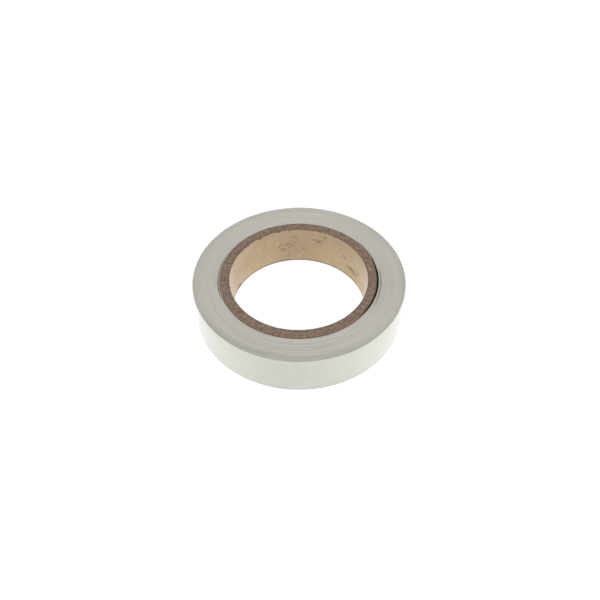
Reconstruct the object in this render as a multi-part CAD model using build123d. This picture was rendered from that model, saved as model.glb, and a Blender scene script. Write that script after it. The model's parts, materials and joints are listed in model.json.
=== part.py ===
from build123d import *
import os
from math import cos, pi, radians, sin

# A roll of copper foil tape for stained glass, lying on one face: a spiral-wound paper core, about a
# hundred laps of tape around it, and the last short stretch of the tape, which has sprung off the roll.
# The tape is three layers: copper foil, its adhesive, and a release liner. It is wound with the foil
# inwards and the liner outwards, and it winds outwards anticlockwise, seen from above.
#
# Sizes are in mm and angles in degrees, anticlockwise from +X seen from above. +X is to the right, +Y to
# the back, and +Z along the core's axis. The origin is the centre of the bore at the roll's lower face.

# Core: one liner ply, the body plies and a facing ply, all butt-wound from strip on a mandrel
bore_d = 76.6
core_length = 25.0
liner_ply = 0.4
body_ply = 0.6
body_plies = 8
facing_ply = 0.35
seam_gap = 0.2  # between the butted edges of a ply
seam_lead = 160.0  # length of core in which a seam goes once round
first_seam_at = 240.0
seam_step = 137.0  # from one ply's seam to the next, so that no two seams lie over each other

# Tape
foil_t = 0.035
adhesive_t = 0.030
liner_t = 0.075
tape_width = 24.5
pack_d = 117.8  # over the outermost lap
pack_centre = (0.15, 0.55)  # the loose inner laps push the winding off the core's axis

# Inner end of the strip, and the loose laps over it
core_clearance = 0.05  # the core turns in the first lap
strip_start = 20.0
start_lift = 0.12  # of the strip's inner end off the core
settle_at = 41.0  # where the first lap lies down on the core
over_gap = 0.10  # between the strip's inner end and the lap that passes over it
over_slope = -0.75  # mm per radian, of a lap where it passes over the inner end
start_slope = -0.40  # mm per radian, of the strip at its inner end
lift_from = -42.0  # where the laps leave the core
rise_at = -25.0
rise = 0.36
peak_at = -5.0
peak = 0.72
core_side_laps = 4  # laps that stay with the core when it is pushed out, the first one included

# Gap on the left, between those laps and the rest of the winding
lap_clearance = 0.05  # radially, and along the strip where it passes from those laps to the rest
left_gap_from = 172.0
left_gap_to = 204.0
left_gap = 0.35

# Outer end of the tape
tail_root = 95.0
tail_length = 28.0
tail_clearance = 0.04  # under the tail, and between its root and the lap that it continues
peel_clearance = 0.03  # between the tail's adhesive and its liner
tip_lift = 0.4

lap = foil_t + adhesive_t + liner_t
core_r = bore_d / 2 + liner_ply + body_plies * body_ply + facing_ply
first_lap_r = core_r + core_clearance
pack_r = pack_d / 2


def polar(angle, radius, centre=(0, 0)):
    """The point at an angle and a radius about a centre."""
    x, y = centre
    return Vector(x + radius * cos(radians(angle)), y + radius * sin(radians(angle)))


def heading(angle, radius, slope=0.0):
    """The direction of a curve that passes an angle anticlockwise, climbing by slope mm per radian."""
    return polar(angle, slope) + polar(angle + 90, radius)


def arc(start, end, radius, centre=(0, 0)):
    """An arc about a centre, anticlockwise from one angle to another."""
    return ThreePointArc(*(polar(a, radius, centre) for a in (start, (start + end) / 2, end)))


def strip(inner, outer, height):
    """A standing strip between two open chains of edges that run the same way."""
    start = Line(inner[0] @ 0, outer[0] @ 0)
    end = Line(inner[-1] @ 1, outer[-1] @ 1)
    return extrude(Face(Wire([*inner, end, *outer, start])), height, dir=(0, 0, 1))


def winding(inner, outer, height):
    """Whole laps between two one-turn spirals, each closed by the step at the end of its turn."""
    outlines = [Wire([*turn, Line(turn[-1] @ 1, turn[0] @ 0)]) for turn in (outer, inner)]
    return extrude(Face(outlines[0], [outlines[1]]), height, dir=(0, 0, 1))


# ---- core ----


def ply(inner_r, thickness, seam_at):
    """One ply of the core: a tube slit by the butt joint of its strip, which climbs as a helix."""
    tube = extrude(Circle(inner_r + thickness) - Circle(inner_r), core_length)
    slit = Rot(Z=seam_at) * Pos(inner_r + thickness / 2) * Rectangle(2 * thickness, seam_gap)
    twist = 360 * core_length / seam_lead
    cutter = Solid.extrude_linear_with_rotation(slit.face(), (0, 0, 0), (0, 0, core_length), twist)
    return tube - cutter


def core_plies():
    """Every ply by name, from the bore outwards."""
    thicknesses = [liner_ply, *[body_ply] * body_plies, facing_ply]
    names = ["core_liner_ply", *[f"core_body_ply_{i + 1}" for i in range(body_plies)], "core_facing_ply"]
    plies = {}
    inner_r = bore_d / 2
    for i, (name, thickness) in enumerate(zip(names, thicknesses)):
        plies[name] = ply(inner_r, thickness, first_seam_at + i * seam_step)
        inner_r += thickness
    return plies


# ---- inner laps ----


def lap_turn(turn, depth, clearance=0.0, gap_height=0.0):
    """A surface of the strip through one turn, counted from its inner end, as a chain of edges.

    depth is the surface's distance from the foil face. Each turn lies as a circle on the one inside it,
    leaves it in a bulge on the right, and passes over the strip's inner end. clearance keeps it off the
    lap inside it, and gap_height adds the left-hand gap.
    """
    r = first_lap_r + turn * lap + depth + clearance
    start = strip_start + clearance / r * 180 / pi
    over_lift = start_lift + over_gap
    lift, slope = (over_lift, over_slope) if turn else (start_lift, start_slope)
    settle = Spline(
        polar(start, r + lift),
        polar(settle_at, r),
        tangents=(heading(start, r + lift, slope), heading(settle_at, r)),
    )
    round_core = [arc(settle_at, lift_from + 360, r)]
    if gap_height:
        bulge = Spline(
            polar(left_gap_from, r),
            polar((left_gap_from + left_gap_to) / 2, r + gap_height),
            polar(left_gap_to, r),
            tangents=(heading(left_gap_from, r), heading(left_gap_to, r)),
        )
        round_core = [arc(settle_at, left_gap_from, r), bulge, arc(left_gap_to, lift_from + 360, r)]
    end_r = r + lap + over_lift
    loose = Spline(
        polar(lift_from, r),
        polar(rise_at, r + rise),
        polar(peak_at, r + peak),
        polar(start, end_r),
        tangents=(heading(lift_from, r), heading(start, end_r, over_slope)),
    )
    return [settle, *round_core, loose]


def first_lap(inner_depth, outer_depth):
    """One layer of the first lap, from the strip's inner end once round the core."""
    return strip(lap_turn(0, inner_depth), lap_turn(0, outer_depth), tape_width)


def inner_laps():
    """The laps between the first one and the left-hand gap."""
    return winding(lap_turn(1, 0), lap_turn(core_side_laps - 1, lap), tape_width)


# ---- outer laps and tail ----


def outer_turn(inner_r):
    """One turn of the spiral about the pack's centre from the tail's root, as two half circles.

    Their centres stand half a lap apart, so the turn ends one lap further out than it starts.
    """
    centres = [tuple(polar(tail_root, side * lap / 4, pack_centre))[:2] for side in (-1, 1)]
    near = arc(tail_root, tail_root + 180, inner_r + lap / 4, centres[0])
    far = arc(tail_root + 180, tail_root + 360, inner_r + 3 * lap / 4, centres[1])
    return [near, far]


last_lap_r = pack_r - 1.5 * lap  # where the outermost lap starts


def wound_tape():
    """All the laps between the left-hand gap and the outermost lap."""
    inside = lap_turn(core_side_laps, 0, lap_clearance, left_gap)
    return winding(inside, outer_turn(last_lap_r), tape_width)


def outer_lap(inner_depth, outer_depth):
    """One layer of the outermost lap, up to the tail's root."""
    return strip(outer_turn(last_lap_r + inner_depth), outer_turn(last_lap_r + outer_depth), tape_width)


def tail_turn(depth):
    """A surface of the tail, which is a little straighter than the lap under it."""
    inner_r = pack_r - lap / 2 + tail_clearance
    bend_r = 1 / (1 / inner_r - 2 * tip_lift / tail_length**2)
    centre = tuple(polar(tail_root, inner_r - bend_r, pack_centre))[:2]
    start = tail_root + tail_clearance / bend_r * 180 / pi
    return [arc(start, start + tail_length / bend_r * 180 / pi, bend_r + depth, centre)]


def tail(inner_depth, outer_depth):
    """One layer of the tail."""
    return strip(tail_turn(inner_depth), tail_turn(outer_depth), tape_width)


# ---- the pieces ----

bond = foil_t + adhesive_t  # depth of the adhesive's outer face
pieces = {
    **core_plies(),
    "first_lap_foil": first_lap(0, foil_t),
    "first_lap_adhesive": first_lap(foil_t, bond),
    "first_lap_liner": first_lap(bond, lap),
    "inner_laps": inner_laps(),
    "wound_tape": wound_tape(),
    "outer_lap_foil": outer_lap(0, foil_t),
    "outer_lap_adhesive": outer_lap(foil_t, bond),
    "outer_lap_liner": outer_lap(bond, lap),
    "tail_foil": tail(0, foil_t),
    "tail_adhesive": tail(foil_t, bond),
    "tail_liner": tail(bond + peel_clearance, lap + peel_clearance),
}
hinge = tail_turn(lap + peel_clearance)[0] @ 0
print(f"laps on the core: {(pack_r - first_lap_r) / lap:.0f}")
print(f"tail hinge at x {hinge.X:.4f}, y {hinge.Y:.4f}")

os.makedirs("parts", exist_ok=True)
for name, piece in pieces.items():
    export_step(piece, f"parts/{name}.step")
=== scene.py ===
import json
from math import pi, radians

import bmesh
import bpy
import numpy as np
from mathutils import Matrix, Vector


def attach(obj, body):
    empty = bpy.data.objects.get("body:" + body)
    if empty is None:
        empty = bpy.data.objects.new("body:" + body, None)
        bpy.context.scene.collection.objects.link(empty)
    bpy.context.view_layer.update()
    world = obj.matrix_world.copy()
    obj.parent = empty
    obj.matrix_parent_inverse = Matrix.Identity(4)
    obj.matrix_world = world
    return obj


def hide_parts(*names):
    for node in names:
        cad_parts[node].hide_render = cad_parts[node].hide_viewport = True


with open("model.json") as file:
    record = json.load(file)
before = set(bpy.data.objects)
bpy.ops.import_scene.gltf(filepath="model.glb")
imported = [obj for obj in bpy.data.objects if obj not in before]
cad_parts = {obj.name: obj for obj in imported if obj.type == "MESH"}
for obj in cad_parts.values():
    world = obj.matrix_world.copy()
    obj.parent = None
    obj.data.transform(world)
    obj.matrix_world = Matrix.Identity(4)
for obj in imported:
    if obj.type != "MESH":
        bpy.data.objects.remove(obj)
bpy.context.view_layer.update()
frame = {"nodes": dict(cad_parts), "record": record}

# The roll is modelled in millimetres and written to its meshes in metres. Angles are in degrees,
# anticlockwise from +X seen from above, as in the CAD model.
MM = 0.001
rng = np.random.default_rng(12)

# ---- sizes: from the CAD model, and the strip's own values repeated from it ----


def cad_points(node):
    """A CAD node's vertices in millimetres."""
    mesh = frame["nodes"][node].data
    points = np.empty(len(mesh.vertices) * 3, np.float32)
    mesh.vertices.foreach_get("co", points)
    return points.reshape(-1, 3).astype(float) / MM


def radii(node):
    """The least and greatest distance of a CAD node from the core's axis."""
    distance = np.hypot(*cad_points(node)[:, :2].T)
    return distance.min(), distance.max()


PLIES = ["core_liner_ply", *[f"core_body_ply_{i}" for i in range(1, 9)], "core_facing_ply"]
bore_r = radii(PLIES[0])[0]
core_r = radii(PLIES[-1])[1]
core_length = cad_points(PLIES[0])[:, 2].max()
tape_width = cad_points("wound_tape")[:, 2].max()
last_lap = cad_points("outer_lap_liner")
pack_centre = (last_lap.max(0) + last_lap.min(0))[:2] / 2
pack_r = (last_lap.max(0) - last_lap.min(0))[:2].mean() / 2
first_lap_r = radii("first_lap_foil")[0]

seam_lead = 160.0  # length of core in which a ply's seam goes once round
first_seam_at, seam_step = 240.0, 137.0
seam_gap = 0.2
foil_t, adhesive_t, liner_t = 0.035, 0.030, 0.075
tape_t = foil_t + adhesive_t + liner_t
strip_start = 20.0
start_lift = 0.12  # of the strip's inner end off the core
over_lift = 0.22  # of a lap where it passes over the strip's inner end
inner_lap_count = 3
lap_clearance = 0.05
tail_root = 95.0
tail_length = 28.0
tip_lift = 0.4
tail_clearance, peel_clearance = 0.04, 0.03

# ---- meshes ----


def make_piece(name, points, faces, material, sharp=35):
    """An object from points in millimetres and faces, smooth except at edges sharper than an angle.

    Its faces are turned to look outwards.
    """
    mesh = bpy.data.meshes.new(name)
    mesh.from_pydata((points * MM).tolist(), [], faces)
    mesh.validate()
    solid = bmesh.new()
    solid.from_mesh(mesh)
    bmesh.ops.recalc_face_normals(solid, faces=solid.faces[:])
    solid.to_mesh(mesh)
    solid.free()
    mesh.shade_smooth()
    mesh.set_sharp_from_angle(angle=radians(sharp))
    mesh.materials.append(material)
    piece = bpy.data.objects.new(name, mesh)
    bpy.context.scene.collection.objects.link(piece)
    return piece


def stand_for(piece, node):
    """The piece rides with a CAD node's body and replaces the node."""
    record = frame["record"]
    bodies = record["behaviour"]["bodies"]
    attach(piece, next(body for body, nodes in bodies.items() if node in nodes))
    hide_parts(node)


def face_ends(piece, material, least=0.7):
    """Gives the faces that look up or down a second material, for the cut ends of board or strip."""
    piece.data.materials.append(material)
    for face in piece.data.polygons:
        if abs(face.normal.z) > least:
            face.material_index = 1


def face_sides(piece, outer, inner):
    """Gives a winding's upright faces the materials of the strip's outer and inner face."""
    piece.data.materials.append(outer)
    piece.data.materials.append(inner)
    for face in piece.data.polygons:
        if abs(face.normal.z) < 0.5:
            looks_out = face.normal.dot(face.center) > 0
            face.material_index = 1 if looks_out else 2


def swept(name, loops, material):
    """A closed solid through a row of loops, an array of (loops, points, xyz), with both ends capped."""
    count, size = loops.shape[:2]
    index = np.arange(count * size).reshape(count, size)
    here, there = index[:-1], index[1:]
    quads = np.stack([here, there, np.roll(there, -1, 1), np.roll(here, -1, 1)], -1).reshape(-1, 4)
    faces = [*quads.tolist(), index[0].tolist(), index[-1][::-1].tolist()]
    return make_piece(name, loops.reshape(-1, 3), faces, material)


def ribbon(name, inner, outer, low, high, material, rows=1):
    """A standing strip between an inner and an outer line of (x, y) points, from low to high."""
    levels = np.linspace(low, high, rows + 1, axis=-1)
    sides = []
    for line, z in ((inner, levels), (outer, levels[:, ::-1])):
        side = np.repeat(line[:, None, :], rows + 1, axis=1)
        sides.append(np.concatenate([side, z[..., None]], -1))
    piece = swept(name, np.concatenate(sides, 1), material)
    face_ends(piece, edges)
    return piece


def coil(name, radius, top, bottom, lap_rows, material):
    """Laps of strip in one solid: a spiral whose rows join up with the next lap's where a turn ends.

    radius, top and bottom are arrays of (segments, rows). A row at the end of a turn is the same line as
    the row lap_rows further out at its start. That leaves the strip's two ends as steps.
    """
    segments, rows = radius.shape
    angle = np.radians(strip_start + 360 * np.arange(segments) / segments)[:, None]
    x, y = radius * np.cos(angle), radius * np.sin(angle)
    points = np.concatenate([np.stack([x, y, z], -1) for z in (top, bottom)], 1).reshape(-1, 3)
    index = np.arange(segments * rows * 2).reshape(segments, 2 * rows)
    upper, lower = index[:, :rows], index[:, rows:]
    quads = []

    def join(a, b, flip):
        """Faces between two lines of vertices, or between two rows of lines."""
        quad = np.stack([a[..., :-1], a[..., 1:], b[..., 1:], b[..., :-1]], -1).reshape(-1, 4)
        quads.append(quad[:, ::-1] if flip else quad)

    # Upper and lower faces, round the turn and across its end
    kept = rows - lap_rows
    for side, flip in ((upper, False), (lower, True)):
        join(side[:-1], side[1:], flip)
        join(side[-1, :kept], side[0, lap_rows:], flip)
    # Inner and outer walls
    for row, seam_from, seam_to, flip in ((0, 0, lap_rows, True), (rows - 1, kept - 1, rows - 1, False)):
        wall = np.stack([upper[:, row], lower[:, row]], -1)
        join(wall[:-1], wall[1:], not flip)
        seam = [np.array([upper[s, r], lower[s, r]]) for s, r in ((-1, seam_from), (0, seam_to))]
        join(seam[0], seam[1], not flip)
    # The strip's two ends
    join(upper[0, : lap_rows + 1], lower[0, : lap_rows + 1], False)
    join(upper[-1, kept - 1 :], lower[-1, kept - 1 :], True)
    return make_piece(name, points, np.concatenate(quads).tolist(), material, sharp=60)


# ---- curves ----


def half_turn(angle):
    """The same angle from -180 to 180."""
    return (angle + 180) % 360 - 180


def polar(angle, radius, centre=(0.0, 0.0)):
    """(x, y) points at angles and radii about a centre."""
    angle = np.radians(angle)
    return np.stack([centre[0] + radius * np.cos(angle), centre[1] + radius * np.sin(angle)], -1)


def smooth_step(x, low, high):
    """0 below low, 1 above high and smooth between."""
    t = np.clip((x - low) / (high - low), 0, 1)
    return t * t * (3 - 2 * t)


def bump(x, low, middle, high):
    """0 outside low to high and 1 at middle."""
    return smooth_step(x, low, middle) * (1 - smooth_step(x, middle, high))


def hermite(x, knots):
    """A smooth curve through (x, y, slope) knots, level outside them."""
    at, y, slope = (np.array(k) for k in zip(*knots))
    x = np.clip(x, at[0], at[-1])
    i = np.clip(np.searchsorted(at, x, side="right") - 1, 0, len(at) - 2)
    width = at[i + 1] - at[i]
    t = (x - at[i]) / width
    rise = (2 * t**3 - 3 * t**2 + 1) * y[i] + (3 * t**2 - 2 * t**3) * y[i + 1]
    return rise + width * ((t**3 - 2 * t**2 + t) * slope[i] + (t**3 - t**2) * slope[i + 1])


def ring_noise(angle, low, high, strength):
    """A smooth random line round the roll, from waves that go round it low to high times."""
    waves = np.arange(low, high)
    phase = rng.uniform(0, 2 * pi, len(waves))
    size = rng.normal(0, 1, len(waves)) * strength / np.sqrt(len(waves))
    return (size * np.cos(np.asarray(angle)[..., None] * waves * pi / 180 + phase)).sum(-1)


def along_strip(turns, slow, fast, strength):
    """Random heights along the strip, so that each lap lies a little apart from the next."""
    waves = 48
    frequency = rng.uniform(slow, fast, waves)
    phase = rng.uniform(0, 2 * pi, waves)
    total = np.zeros_like(turns)
    for f, p in zip(frequency, phase):
        total += np.sin(2 * pi * f * turns + p)
    return total * strength / 5  # 5 is about the sum's own spread


# ---- shaders ----


class Shader:
    """A material and the few kinds of node that its colours and reliefs are worked out with."""

    def __init__(self, name, **settings):
        self.material = bpy.data.materials.new(name)
        self.material.use_nodes = True
        self.tree = self.material.node_tree
        self.surface = self.tree.nodes["Principled BSDF"]
        for key, value in settings.items():
            self.surface.inputs[key.replace("_", " ")].default_value = value
        self.place = self.node("ShaderNodeTexCoord").outputs["Object"]

    def node(self, kind, *values, **properties):
        """A node with its inputs set or linked in order."""
        made = self.tree.nodes.new(kind)
        for key, value in properties.items():
            setattr(made, key, value)
        for socket, value in zip([i for i in made.inputs if i.enabled], values):
            self.feed(socket, value)
        return made

    def feed(self, socket, value):
        """Links a node's output to a socket, or sets the socket to a value."""
        if isinstance(value, bpy.types.NodeSocket):
            self.tree.links.new(value, socket)
        else:
            socket.default_value = value

    def set(self, name, value):
        """Links a node's output to an input of the surface."""
        self.tree.links.new(value, self.surface.inputs[name])

    def relief(self, height, distance, strength):
        """Bump of that many millimetres where height goes from 0 to 1."""
        made = self.node("ShaderNodeBump")
        made.inputs["Strength"].default_value = strength
        made.inputs["Distance"].default_value = distance * MM
        self.tree.links.new(height, made.inputs["Height"])
        self.set("Normal", made.outputs[0])

    # Sums

    def math(self, operation, *values):
        """The result of a sum on numbers."""
        return self.node("ShaderNodeMath", *values, operation=operation).outputs[0]

    def vector(self, operation, *values):
        """The result of a sum on vectors. LENGTH gives a number."""
        made = self.node("ShaderNodeVectorMath", *values, operation=operation)
        return made.outputs["Value" if operation == "LENGTH" else "Vector"]

    def product(self, *values):
        """All the values multiplied together."""
        total = values[0]
        for value in values[1:]:
            total = self.math("MULTIPLY", total, value)
        return total

    def span(self, value, low, high, to_low=0.0, to_high=1.0):
        """A value's part between low and high, spread smoothly over another range."""
        inputs = (value, low, high, to_low, to_high)
        return self.node("ShaderNodeMapRange", *inputs, interpolation_type="SMOOTHSTEP").outputs[0]

    def window(self, value, low, rise, fall, high):
        """1 between rise and fall, 0 below low and above high."""
        return self.product(self.span(value, low, rise), self.span(value, high, fall))

    def mix(self, share, a, b):
        """Colour a, with a share of colour b laid over it."""
        made = self.tree.nodes.new("ShaderNodeMix")
        made.data_type = "RGBA"
        self.feed(made.inputs[0], share)
        for socket, colour in ((made.inputs[6], a), (made.inputs[7], b)):
            self.feed(socket, (*colour, 1.0) if isinstance(colour, tuple) else colour)
        return made.outputs[2]

    # Places

    def scaled(self, x, y=None, z=None):
        """The place on the piece, in metres, times a scale along each axis."""
        return self.vector("MULTIPLY", self.place, (x, y or x, z or x))

    def around(self, centre=(0.0, 0.0)):
        """The place's radius in millimetres and its unit direction, about an upright axis."""
        off = self.vector("SUBTRACT", self.place, (centre[0] * MM, centre[1] * MM, 0.0))
        flat = self.vector("MULTIPLY", off, (1.0, 1.0, 0.0))
        radius = self.math("DIVIDE", self.vector("LENGTH", flat), MM)
        return radius, self.vector("NORMALIZE", flat)

    def turned(self):
        """The place's angle about the core's axis in degrees, from -180 to 180."""
        parts = self.node("ShaderNodeSeparateXYZ", self.place).outputs
        return self.product(self.math("ARCTAN2", parts[1], parts[0]), 180 / pi)

    def height(self):
        """The place's height in millimetres."""
        parts = self.node("ShaderNodeSeparateXYZ", self.place).outputs
        return self.math("DIVIDE", parts[2], MM)

    def polar_place(self, radius, direction, round_scale, radial_scale):
        """A place for noise that is drawn out round the axis."""
        turned = self.vector("MULTIPLY", direction, (round_scale, round_scale, 0.0))
        out = self.node("ShaderNodeCombineXYZ", 0.0, 0.0, self.product(radius, radial_scale))
        return self.vector("ADD", turned, out.outputs[0])

    # Patterns

    def noise(self, place, detail, roughness=0.5):
        """Noise from 0 to 1 with features about 1 unit of place across."""
        return self.node("ShaderNodeTexNoise", place, 1.0, detail, roughness).outputs[0]

    def dots(self, place, share):
        """1 in small spots at random places, in a share of the cells of a grid of unit size."""
        cell = self.node("ShaderNodeTexVoronoi", place, 1.0).outputs
        chance = self.node("ShaderNodeSeparateXYZ", cell["Color"]).outputs[0]
        kept = self.math("LESS_THAN", chance, share)
        return self.product(self.span(cell["Distance"], 0.58, 0.26), kept)

    def patches(self, angle, height, places):
        """1 in the middles of oval patches and 0 outside them all.

        places are (angle, height, half width in degrees, half height in millimetres) of the patches.
        """
        total = 0.0
        for at, level, wide, high in places:
            across = self.math("DIVIDE", self.math("SUBTRACT", angle, at), wide)
            up = self.math("DIVIDE", self.math("SUBTRACT", height, level), high)
            away = self.node("ShaderNodeCombineXYZ", across, up, 0.0).outputs[0]
            patch = self.span(self.vector("LENGTH", away), 1.3, 0.3)
            total = self.math("MAXIMUM", total, patch)
        return total


def winding_material():
    """The cut edges of the laps: silver grey, with faint streaks that follow the laps."""
    s = Shader("winding_edges", Metallic=0.15, IOR=1.45)
    radius, direction = s.around(pack_centre)
    angle = s.turned()
    streak = s.noise(s.polar_place(radius, direction, 1.3, 1.7), detail=4.0, roughness=0.62)
    fine = s.noise(s.polar_place(radius, direction, 9.0, 6.5), detail=2.0)
    grain = s.noise(s.scaled(900.0), detail=2.0)
    cloud = s.noise(s.scaled(38.0), detail=3.0)
    colour = s.mix(s.span(streak, 0.34, 0.68), (0.400, 0.387, 0.349), (0.434, 0.419, 0.378))
    colour = s.mix(s.product(s.span(fine, 0.5, 0.75), 0.30), colour, (0.51, 0.495, 0.45))
    colour = s.mix(s.product(s.span(cloud, 0.35, 0.7), 0.4), colour, (0.438, 0.414, 0.386))
    colour = s.mix(s.product(s.span(grain, 0.62, 0.8), 0.35), colour, (0.27, 0.25, 0.21))
    colour = s.mix(s.product(s.span(grain, 0.36, 0.24), 0.35), colour, (0.60, 0.59, 0.55))
    # Painted shade: greyer over the front, and darker on the rim, most of all at the front
    front_shade = s.window(angle, -150.0, -125.0, -78.0, -50.0)
    colour = s.mix(s.product(front_shade, 0.15), colour, (0.27, 0.27, 0.23))
    front = s.window(angle, -165.0, -130.0, -60.0, -25.0)
    rim = s.product(s.span(radius, pack_r - 5.0, pack_r - 0.3), s.span(streak, 0.2, 0.6, 0.35, 1.0))
    # Painted shade on the rim, strongest at the front
    worn = s.product(rim, s.math("MULTIPLY_ADD", front, 0.44, 0.24))
    colour = s.mix(worn, colour, (0.27, 0.28, 0.24))
    s.set("Base Color", loose_lap_shadows(s, colour, angle))
    s.set("Roughness", s.span(fine, 0.3, 0.7, 0.44, 0.58))
    s.relief(s.math("ADD", s.product(fine, 0.6), s.product(grain, 0.4)), 0.025, 0.3)
    return s.material


def loose_lap_shadows(s, colour, angle):
    """The winding's colour, darker in the openings between the laps nearest to the core."""
    radius, _ = s.around()
    # Beyond the bulge on the right
    crease = s.window(radius, core_r + 0.8, core_r + 1.4, core_r + 1.8, core_r + 2.3)
    crease = s.product(s.window(angle, -34.0, -18.0, 2.0, 14.0), crease)
    colour = s.mix(s.product(crease, 0.62), colour, (0.16, 0.155, 0.14))
    # At the gap on the left
    lip = s.window(radius, core_r + 0.50, core_r + 0.62, core_r + 0.98, core_r + 1.12)
    lip = s.product(s.span(s.math("ABSOLUTE", angle), 152.0, 168.0), lip)
    colour = s.mix(s.product(lip, 0.85), colour, (0.10, 0.095, 0.085))
    # Over the strip's inner end
    start = s.window(radius, core_r - 0.1, core_r + 0.1, core_r + 0.9, core_r + 1.4)
    start = s.product(s.window(angle, 12.0, 20.0, 38.8, 39.6), start)
    return s.mix(s.product(start, 0.62), colour, (0.17, 0.17, 0.155))


def foil_material(name, dull, bright, stained):
    """Rolled copper, with the faint lines of the rolling mill along the strip and dull stains."""
    s = Shader(name, Metallic=1.0, Anisotropic=0.35)
    lines = s.noise(s.scaled(60.0, 60.0, 5200.0), detail=3.0)
    stain = s.noise(s.scaled(160.0), detail=4.0)
    colour = s.mix(s.span(lines, 0.3, 0.7), dull, bright)
    s.set("Base Color", s.mix(s.product(s.span(stain, 0.5, 0.75), 0.5), colour, stained))
    s.set("Roughness", s.span(stain, 0.3, 0.75, 0.22, 0.42))
    s.relief(lines, 0.006, 0.5)
    return s.material


def adhesive_material():
    """Acrylic adhesive, grey as the thin line of it at the strip's edges. It isn't see-through."""
    s = Shader("adhesive", IOR=1.47, Coat_Weight=0.3, Coat_Roughness=0.15)
    mottle = s.noise(s.scaled(420.0), detail=4.0)
    bubble = s.noise(s.scaled(1500.0), detail=1.0)
    colour = s.mix(s.span(mottle, 0.35, 0.7), (0.47, 0.44, 0.37), (0.62, 0.59, 0.52))
    colour = s.mix(s.product(s.span(bubble, 0.6, 0.75), 0.4), colour, (0.75, 0.73, 0.67))
    s.set("Base Color", colour)
    s.set("Roughness", s.span(mottle, 0.3, 0.7, 0.18, 0.35))
    s.relief(bubble, 0.02, 0.4)
    return s.material


def liner_material():
    """The release liner: a smooth pale green-white coated paper with a soft gloss."""
    s = Shader("release_liner", IOR=1.5, Coat_Weight=0.95, Coat_Roughness=0.15, Coat_IOR=1.5)
    height = s.height()
    pulp = s.noise(s.scaled(300.0), detail=5.0, roughness=0.6)
    cloud = s.noise(s.scaled(28.0, 28.0, 60.0), detail=2.0)
    scuff = s.noise(s.scaled(70.0, 70.0, 1500.0), detail=3.0)
    colour = s.mix(s.span(cloud, 0.3, 0.7), (0.722, 0.764, 0.650), (0.762, 0.801, 0.685))
    colour = s.mix(s.product(s.span(pulp, 0.4, 0.7), 0.35), colour, (0.83, 0.86, 0.76))
    colour = s.mix(s.product(s.span(scuff, 0.66, 0.8), 0.18), colour, (0.64, 0.67, 0.58))
    upper = s.span(height, tape_width - 0.9, tape_width - 0.1)
    lower = s.span(height, 0.9, 0.1)
    edge = s.product(s.math("MAXIMUM", upper, lower), 0.30)
    s.set("Base Color", s.mix(edge, colour, (0.43, 0.44, 0.38)))
    s.set("Roughness", s.span(pulp, 0.3, 0.7, 0.30, 0.42))
    s.relief(pulp, 0.012, 0.3)
    return s.material


def board_material():
    """The core's cut board: brown grey and fibrous, reddish and olive in patches, with flecks."""
    s = Shader("core_board", IOR=1.4, Specular_IOR_Level=0.2)
    radius, direction = s.around()
    fibre = s.noise(s.polar_place(radius, direction, 24.0, 4.0), detail=4.0, roughness=0.65)
    fleck = s.noise(s.scaled(1100.0), detail=2.0)
    cloud = s.noise(s.scaled(520.0), detail=4.0, roughness=0.65)
    tint = s.noise(s.scaled(260.0), detail=3.0, roughness=0.6)
    colour = s.mix(s.span(fibre, 0.28, 0.72), (0.109, 0.074, 0.053), (0.226, 0.162, 0.121))
    colour = s.mix(s.product(s.span(cloud, 0.46, 0.60), 0.7), colour, (0.262, 0.194, 0.146))
    colour = s.mix(s.product(s.span(cloud, 0.46, 0.36), 0.5), colour, (0.085, 0.062, 0.043))
    colour = s.mix(s.product(s.span(tint, 0.52, 0.62), 0.45), colour, (0.200, 0.128, 0.100))
    colour = s.mix(s.product(s.span(tint, 0.46, 0.36), 0.45), colour, (0.155, 0.138, 0.086))
    colour = s.mix(s.product(s.span(fleck, 0.60, 0.72), 0.5), colour, (0.38, 0.31, 0.23))
    colour = s.mix(s.product(s.span(fleck, 0.40, 0.30), 0.6), colour, (0.06, 0.042, 0.032))
    # Darker towards the bore and redder towards the outside
    inward = s.product(s.span(radius, bore_r + 1.3, bore_r + 0.2), s.span(fibre, 0.3, 0.6, 1.0, 0.5))
    colour = s.mix(s.product(inward, 0.55), colour, (0.085, 0.068, 0.042))
    outward = s.span(radius, core_r - 1.4, core_r - 0.5)
    colour = s.mix(s.product(outward, 0.35), colour, (0.225, 0.140, 0.105))
    s.set("Base Color", facing_shadows(s, colour, radius, direction))
    s.set("Roughness", s.span(fibre, 0.3, 0.7, 0.82, 0.95))
    s.relief(s.math("ADD", s.product(fibre, 0.5), s.product(fleck, 0.5)), 0.12, 0.8)
    return s.material


def facing_shadows(s, colour, radius, direction):
    """The board's colour, darker in the facing ply's edge and in the slot where that ply is worn away."""
    angle = s.turned()
    broken = s.noise(s.polar_place(radius, direction, 3.5, 0.0), detail=2.0)
    facing = s.span(radius, core_r - 0.42, core_r - 0.36)
    behind = s.window(angle, -50.0, -34.0, 160.0, 185.0)
    facing = s.product(facing, s.span(broken, 0.40, 0.60, 0.3, 1.0), behind)
    colour = s.mix(s.product(facing, 0.8), colour, (0.045, 0.033, 0.027))
    slot = s.span(radius, core_r - 0.95, core_r - 0.65)
    slot = s.product(slot, s.window(angle, -44.0, -30.0, 6.0, 24.0))
    return s.mix(s.product(slot, 0.9), colour, (0.020, 0.015, 0.012))


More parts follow.
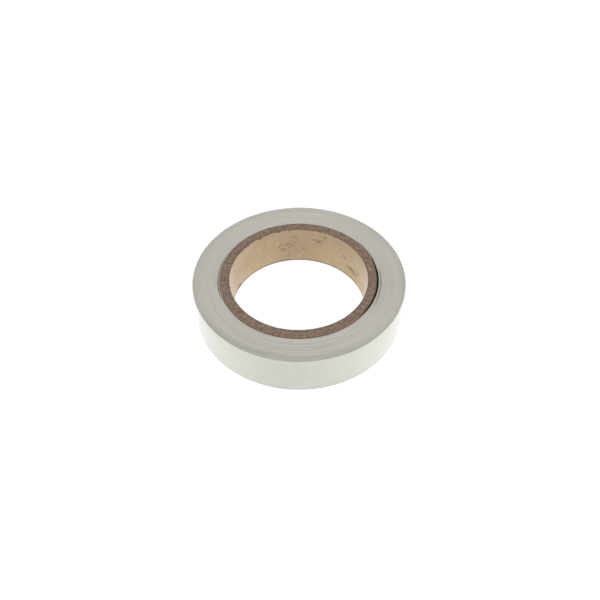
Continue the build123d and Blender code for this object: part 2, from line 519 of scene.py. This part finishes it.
# Patches on the lining: angle, height, half width in degrees and half height in millimetres
SPECKS = [
    (94, 17, 4, 3),
    (103, 11.5, 9, 4.0),
    (84, 10, 4, 1.5),
    (99, 5.5, 2, 3),
    (73, 17.5, 5, 2),
    (66, 21.5, 3, 2),
]
SMUDGES = [(33, 7.5, 10, 2.6), (44.5, 13.7, 2.4, 2.4), (27, 9.5, 6, 1.6)]
STREAK = [(35.0, 7.8, 5.5, 1.1), (29.5, 6.8, 4.5, 0.9)]
DULL = [(95, 12.0, 30, 9.0)]
OIL = [(33, 4.0, 11, 5.5)]
# Painted light: paler patches on the left of the lining
PAINTED_LIGHT_PATCHES = [(145, 20.5, 12, 6.5), (173, 20.0, 8, 7.0), (174, 3.5, 8, 5.0)]
# A dark spot and a dark line at the lining's lower left edge
LOWER_LEFT_DARK = [(157, 0.7, 5.0, 1.7), (166, 0.1, 11.0, 0.9)]


def bore_material():
    """The core's kraft lining: tan and fibrous, stained in patches, dark along its lower edge."""
    s = Shader("bore_paper", IOR=1.5, Specular_IOR_Level=0.6, Sheen_Weight=0.45, Sheen_Roughness=0.35)
    height = s.height()
    cloud = s.noise(s.scaled(60.0), detail=4.0, roughness=0.6)
    fibre = s.noise(s.scaled(420.0, 420.0, 900.0), detail=4.0, roughness=0.7)
    grain = s.noise(s.scaled(2200.0), detail=2.0)
    mottle = s.noise(s.scaled(430.0, 430.0, 900.0), detail=4.0, roughness=0.7)
    band = s.noise(s.scaled(240.0, 240.0, 60.0), detail=2.0)
    colour = s.mix(s.span(cloud, 0.3, 0.7), (0.528, 0.382, 0.230), (0.588, 0.444, 0.276))
    colour = s.mix(s.product(s.span(band, 0.48, 0.62), 0.12), colour, (0.66, 0.53, 0.36))
    colour = s.mix(s.product(s.span(fibre, 0.5, 0.70), 0.45), colour, (0.70, 0.58, 0.40))
    colour = s.mix(s.product(s.span(fibre, 0.44, 0.28), 0.42), colour, (0.38, 0.26, 0.145))
    colour = stained_lining(s, colour, height, fibre, mottle)
    edge = s.product(s.span(height, 1.5, 0.5), s.span(mottle, 0.35, 0.6, 0.6, 1.0))
    colour = s.mix(s.product(edge, 0.75), colour, (0.12, 0.07, 0.05))
    frayed = s.span(height, core_length - 1.1, core_length - 0.3)
    frayed = s.product(frayed, s.span(mottle, 0.42, 0.6))
    s.set("Base Color", s.mix(s.product(frayed, 0.55), colour, (0.66, 0.54, 0.38)))
    s.set("Roughness", s.span(fibre, 0.3, 0.7, 0.50, 0.66))
    s.relief(s.math("ADD", s.product(fibre, 0.7), s.product(grain, 0.3)), 0.06, 0.5)
    return s.material


def stained_lining(s, colour, height, fibre, mottle):
    """The lining's colour with its dull, specked, oily and smudged patches, its dark patches at the lower
    left edge, and patches of painted light.
    """
    angle = s.turned()

    def on(places):
        return s.patches(angle, height, places)

    # Painted light on the left of the lining
    colour = s.mix(s.product(on(PAINTED_LIGHT_PATCHES), 0.40), colour, (0.66, 0.51, 0.385))
    dull = s.product(on(DULL), s.span(mottle, 0.35, 0.6))
    colour = s.mix(s.product(dull, 0.22), colour, (0.42, 0.285, 0.165))
    speck = s.product(s.dots(s.scaled(470.0, 470.0, 900.0), 0.66), s.span(on(SPECKS), 0.08, 0.45))
    colour = s.mix(s.product(speck, 0.70), colour, (0.21, 0.112, 0.055))
    stray = s.product(s.dots(s.scaled(330.0, 330.0, 520.0), 0.22), s.span(mottle, 0.4, 0.6))
    colour = s.mix(s.product(stray, 0.35), colour, (0.30, 0.20, 0.115))
    colour = s.mix(s.product(on(OIL), 0.45), colour, (0.46, 0.38, 0.14))
    smear = s.span(s.noise(s.scaled(330.0, 330.0, 600.0), detail=3.0), 0.36, 0.60)
    colour = s.mix(s.product(smear, on(SMUDGES), 0.62), colour, (0.19, 0.145, 0.060))
    rubbed = s.span(fibre, 0.30, 0.50, 0.5, 1.0)
    colour = s.mix(s.product(rubbed, on(STREAK), 0.70), colour, (0.195, 0.135, 0.052))
    return s.mix(s.product(on(LOWER_LEFT_DARK), 0.95), colour, (0.035, 0.025, 0.018))


edges = winding_material()
copper = foil_material(
    "copper_foil",
    dull=(0.80, 0.37, 0.22),
    bright=(0.93, 0.50, 0.33),
    stained=(0.55, 0.25, 0.17),
)
# A dark copy of the copper: painted shade for foil seen in the openings beside the core
shaded_copper = foil_material(
    "copper_painted_shade",
    dull=(0.075, 0.035, 0.022),
    bright=(0.11, 0.05, 0.03),
    stained=(0.03, 0.018, 0.012),
)
glue = adhesive_material()
liner = liner_material()
board = board_material()
lining = bore_material()

# ---- the strip's path ----

WOUND_LAPS = 102  # between the gap on the left and the outermost lap
LAST_TURN = tail_root + 360
SET_IN = 0.06  # of the outermost lap from the CAD model's outline
START_SLOPE, OVER_SLOPE = -0.007, -0.013  # mm per degree, of the strip's inner end and of laps over it
# (angle, height, slope) where a lap has settled on the core, where it leaves it again, and at two points
# of the bulge after that
BULGE = [(41, 0, 0), (318, 0, 0), (335, 0.22, 0.012), (355, 0.42, -0.001)]


def pack_shift(angle):
    """How far a circle about the pack's centre lies outside one about the core's axis."""
    return pack_centre[0] * np.cos(np.radians(angle)) + pack_centre[1] * np.sin(np.radians(angle))


inside_laps = 1 + inner_lap_count
last_r = pack_r - SET_IN - tape_t / 2  # the outermost strip's inner face at the tail's root
room = last_r + pack_shift(strip_start) - first_lap_r - lap_clearance - over_lift
pitch = room / (WOUND_LAPS + inside_laps + (LAST_TURN - strip_start) / 360)


def lap_lift(angle, first=False):
    """A lap's height over the circle that it mostly lies on, from strip_start through one turn."""
    start = (strip_start, start_lift, START_SLOPE) if first else (strip_start, over_lift, OVER_SLOPE)
    return hermite(angle, [start, *BULGE, (strip_start + 360, over_lift + pitch, OVER_SLOPE)])


def last_lap_r(angle):
    """Inner radius of the outermost strip at an angle counted on to LAST_TURN, at the tail's root."""
    behind = pitch * (LAST_TURN - angle) / 360
    return last_r - behind + pack_shift(angle)


# ---- core ----

CORE_SEGMENTS = 240
PLY_ROWS = 22  # enough that the twisted wall of a ply stays round
PLY_CLEARANCE = 0.012  # from the ply inside
RING = np.linspace(0, 360, 720, endpoint=False)
NOTCHES = [(126, 1.3), (108, 0.8), (139, 0.8), (57, 0.7), (147, 0.6), (71, 0.5)]  # angle, depth
FACING_WEAR = 2.4  # off the facing ply's top, beside the bulge in the laps


def ply_section(worn):
    """(share of the thickness, height) round a ply's section, from the bottom of its inner face."""
    wall = np.linspace(worn, core_length - worn, PLY_ROWS)
    end = [(0.12, 0.35), (0.5, 0.0), (0.88, 0.35)]
    section = [
        *[(0.0, z) for z in wall],
        *[(share, core_length - worn * dip) for share, dip in end],
        *[(1.0, z) for z in wall[::-1]],
        *[(share, worn * dip) for share, dip in end[::-1]],
    ]
    return np.array(section).T[:, None, :]


def ply_wear(order):
    """How far a ply's upper end is worn down at each angle of RING."""
    ragged = ring_noise(RING, 3, 150, 0.055) + ring_noise(RING, 60, 300, 0.03)
    drop = 0.02 + 0.04 * rng.random() + np.abs(ragged)
    if order == 0:
        drop += np.clip(ring_noise(RING, 12, 120, 0.6) - 0.62, 0, 0.5)
        for at, depth in NOTCHES:
            drop += depth * bump(RING, at - 2.2, at, at + 1.8)
    if order == len(PLIES) - 1:
        drop += FACING_WEAR * bump(half_turn(RING), -48, -14, 24)
    return drop


def core_ply(node, order):
    """One ply of the core, slit by its helical butt joint, with worn ends."""
    inmost = order == 0
    inner_r, outer_r = radii(node)
    inner_r += PLY_CLEARANCE
    worn = 0.06 if inmost else 0.05  # how far the section's corners are rounded
    share, height = ply_section(worn)
    gap = seam_gap / inner_r * 180 / pi
    seam = first_seam_at + order * seam_step + 360 * height / seam_lead
    step = np.linspace(0, 1, CORE_SEGMENTS + 1)[:, None]
    angle = seam + gap / 2 + step * (360 - gap)
    drop = np.interp(angle % 360, RING, ply_wear(order), period=360)
    z = height - drop * smooth_step(height, core_length - 2.5, core_length - worn)
    r = np.repeat(inner_r + share * (outer_r - inner_r), len(angle), axis=0)
    if inmost:
        # The bore's wall is slightly wavy
        wave = ring_noise(angle[:, :PLY_ROWS], 2, 26, 0.03)
        r[:, :PLY_ROWS] += np.abs(wave * (0.6 + 0.4 * np.cos(height[:, :PLY_ROWS] / 4)))
    points = np.concatenate([polar(angle, r), z[..., None]], -1)
    piece = swept(f"{node}_cut", points, lining if inmost else board)
    if inmost:
        face_ends(piece, board, least=0.45)
    stand_for(piece, node)


for order, node in enumerate(PLIES):
    core_ply(node, order)

# ---- winding ----

WINDING_SEGMENTS = 240
LAP_ROWS = 2
GROOVE = 0.035  # depth of the adhesive's edge below the foil's and liner's
LEFT_GAP = 0.30
RIM_DIP = 0.22  # of the winding's upper face at its rim
BULGE_DIP = 0.30  # of that face beside the bulge
LOOSE_DIP = 0.12  # of the loose laps at the bulge


def wound(name, laps, turns_before, inner_r, outer_r, dip):
    """Laps of strip in one piece between two one-turn spirals. dip lowers its upper face."""
    rows = laps * LAP_ROWS + 1
    turn = np.arange(WINDING_SEGMENTS)[:, None] / WINDING_SEGMENTS
    laps_out = np.arange(rows)[None, :] / LAP_ROWS
    angle = strip_start + 360 * turn
    radius = inner_r(angle) + (outer_r(angle) - inner_r(angle)) * laps_out / laps
    ridge = np.where(np.arange(rows) % LAP_ROWS == 0, 0.0, GROOVE)[None, :]
    at = turn + laps_out + turns_before
    uneven = np.abs(along_strip(at, 0.2, 2.5, 0.010) + along_strip(at, 0.01, 0.2, 0.016))
    top = tape_width - ridge - uneven - dip(angle, radius)
    bottom = ridge + np.abs(along_strip(at, 0.2, 2.5, 0.02))
    return coil(name, radius, top, bottom, LAP_ROWS, edges)


def bulk_inner_r(angle):
    """The winding's inner outline: the loose laps' shape, and the gap beside them on the left."""
    lying = first_lap_r + inside_laps * pitch + lap_clearance + lap_lift(angle)
    return lying + LEFT_GAP * bump(angle, 168, 188, 206)


def on_bulge(angle):
    """1 at the middle of the bulge on the right and 0 clear of it."""
    return bump(half_turn(angle), -32, -8, 14)


def bulk_dip(angle, radius):
    """The winding's upper face falls away at its rim, and beside the bulge."""
    rim = RIM_DIP * smooth_step(radius, pack_r - 5.0, pack_r + 0.3) ** 2
    beside = on_bulge(angle) * (1 - smooth_step(radius, core_r + 1.3, core_r + 3.4))
    return rim + BULGE_DIP * beside


def inner_dip(angle, radius):
    """The loose laps sink a little at the bulge."""
    return LOOSE_DIP * on_bulge(angle)


def winding():
    """The laps from the gap on the left to the outermost lap."""
    piece = wound("wound_tape_laps", WOUND_LAPS, inside_laps, bulk_inner_r, last_lap_r, bulk_dip)
    face_sides(piece, liner, copper)
    stand_for(piece, "wound_tape")


def loose_laps():
    """The laps between the first one and the gap on the left."""

    def inside(angle):
        return first_lap_r + pitch + lap_lift(angle)

    def outside(angle):
        return first_lap_r + inside_laps * pitch + lap_lift(angle)

    piece = wound("inner_laps_wound", inner_lap_count, 1, inside, outside, inner_dip)
    # The loose laps' inner faces take the dark copper: painted shade in the openings between them
    face_sides(piece, liner, shaded_copper)
    stand_for(piece, "inner_laps")


winding()
loose_laps()

# ---- the layers of the first and last laps and the tail ----

LAYERS = {
    "foil": (0.0, foil_t, copper),
    "adhesive": (foil_t, foil_t + adhesive_t, glue),
    "liner": (foil_t + adhesive_t, tape_t, liner),
}
SKIN = 0.002  # left between two layers
LAST_LAP_DIP = 0.24  # of the outermost lap's upper edge, which goes on from the rim's
TAIL_DIP = 0.42  # of the tail's upper edge, at its root
TAIL_SLANT = 0.12  # more of it, past the root
TIP_SHARE = 0.45  # of the CAD model's lift of the tail's tip


def first_lap(layer):
    """One layer of the first lap. Its foil is dark copper, painted shade for the gap beside the core."""
    low, high, material = LAYERS[layer]
    # Painted shade: the first lap's foil is dark
    material = shaded_copper if layer == "foil" else material
    angle = np.linspace(strip_start, strip_start + 360, 300)
    lying = first_lap_r + lap_lift(angle, first=True)
    top = tape_width - np.abs(ring_noise(angle, 1, 30, 0.03))
    lines = [polar(angle, lying + depth) for depth in (low + SKIN, high)]
    piece = ribbon(f"first_lap_{layer}_strip", *lines, 0.02, top, material)
    stand_for(piece, f"first_lap_{layer}")


def last_lap_layer(layer):
    """One layer of the outermost lap, up to the tail's root."""
    low, high, material = LAYERS[layer]
    angle = np.linspace(strip_start, LAST_TURN, 440)
    lines = [polar(angle, last_lap_r(angle) + depth) for depth in (low + SKIN, high)]
    top = tape_width - LAST_LAP_DIP - np.abs(ring_noise(angle, 1, 40, 0.03))
    piece = ribbon(f"outer_lap_{layer}_strip", *lines, 0.0, top, material, rows=10)
    stand_for(piece, f"outer_lap_{layer}")


def tail_layer(layer):
    """One layer of the tail, which is a little straighter than the lap under it."""
    low, high, material = LAYERS[layer]
    if layer == "liner":
        low, high = low + peel_clearance, high + peel_clearance
    inner_r = last_r + tail_clearance
    bend_r = 1 / (1 / inner_r - 2 * TIP_SHARE * tip_lift / tail_length**2)
    centre = pack_centre + polar(tail_root, inner_r - bend_r)
    start = tail_root + np.degrees(tail_clearance / bend_r)
    angle = np.linspace(start, start + np.degrees(tail_length / bend_r), 60)
    lines = [polar(angle, bend_r + depth, centre) for depth in (low + SKIN, high)]
    top = tape_width - TAIL_DIP - TAIL_SLANT * smooth_step(angle, start, start + 8)
    piece = ribbon(f"tail_{layer}_strip", *lines, 0.0, top, material, rows=10)
    stand_for(piece, f"tail_{layer}")


for layer in LAYERS:
    first_lap(layer)
    last_lap_layer(layer)
    tail_layer(layer)

# ---- studio ----

WHITE = (1.0, 1.0, 1.0, 1.0)


def floor():
    """A plain floor, nearly all self-lit, so that it stays white round the roll."""
    far = 3.0
    corners = [(-far, -far, 0), (far, -far, 0), (far, far, 0), (-far, far, 0)]
    mesh = bpy.data.meshes.new("floor")
    mesh.from_pydata(corners, [], [(0, 1, 2, 3)])
    paper = Shader(
        "floor_paper",
        Base_Color=(0.09, 0.09, 0.09, 1.0),
        Roughness=0.9,
        Specular_IOR_Level=0.0,
        Emission_Color=WHITE,
        Emission_Strength=0.97,
    )
    mesh.materials.append(paper.material)
    ground = bpy.data.objects.new("floor", mesh)
    ground.location.z = -0.02 * MM
    bpy.context.scene.collection.objects.link(ground)


def surroundings():
    """A faint white light from all round. The camera itself sees plain white there."""
    world = bpy.data.worlds.new("studio")
    world.use_nodes = True
    nodes, links = world.node_tree.nodes, world.node_tree.links
    ambient = nodes["Background"]
    ambient.inputs["Color"].default_value = WHITE
    ambient.inputs["Strength"].default_value = 0.14
    backdrop = nodes.new("ShaderNodeBackground")
    backdrop.inputs["Color"].default_value = WHITE
    seen = nodes.new("ShaderNodeMixShader")
    links.new(nodes.new("ShaderNodeLightPath").outputs["Is Camera Ray"], seen.inputs[0])
    links.new(ambient.outputs[0], seen.inputs[1])
    links.new(backdrop.outputs[0], seen.inputs[2])
    links.new(seen.outputs[0], nodes["World Output"].inputs["Surface"])
    bpy.context.scene.world = world


def soft_box(name, place, size, power):
    """A square area light that faces the roll's middle. Places and sizes are in millimetres."""
    middle = (0, 0, 12)
    light = bpy.data.lights.new(name, "AREA")
    light.size = size * MM
    light.energy = power
    box = bpy.data.objects.new(name, light)
    box.location = Vector(place) * MM
    box.rotation_euler = (Vector(middle) - Vector(place)).to_track_quat("-Z", "Y").to_euler()
    bpy.context.scene.collection.objects.link(box)


def camera():
    """The photograph's view: from the front, looking down at the roll at 48 degrees."""
    elevation, heading, roll = 47.96, -0.09, 0.21
    distance = 367.1
    aim = Vector((0.69, -6.24, 12.25)) * MM
    eye = bpy.data.cameras.new("camera")
    eye.lens = 39.22
    eye.sensor_width = 36.0
    eye.clip_start = 0.01
    holder = bpy.data.objects.new("camera", eye)
    tilt = Matrix.Rotation(radians(90 - elevation), 4, "X")
    turned = Matrix.Rotation(radians(heading), 4, "Z") @ tilt @ Matrix.Rotation(radians(-roll), 4, "Z")
    place = aim + turned.to_3x3() @ Vector((0, 0, distance * MM))
    holder.matrix_world = Matrix.Translation(place) @ turned
    bpy.context.scene.collection.objects.link(holder)
    bpy.context.scene.camera = holder


floor()
surroundings()
soft_box("above", (0, 60, 700), size=700, power=5.1)
soft_box("left", (-650, -150, 350), size=500, power=1.55)
soft_box("right", (650, -150, 350), size=500, power=1.9)
bpy.context.scene.view_settings.view_transform = "Standard"
bpy.context.scene.view_settings.look = "None"
camera()
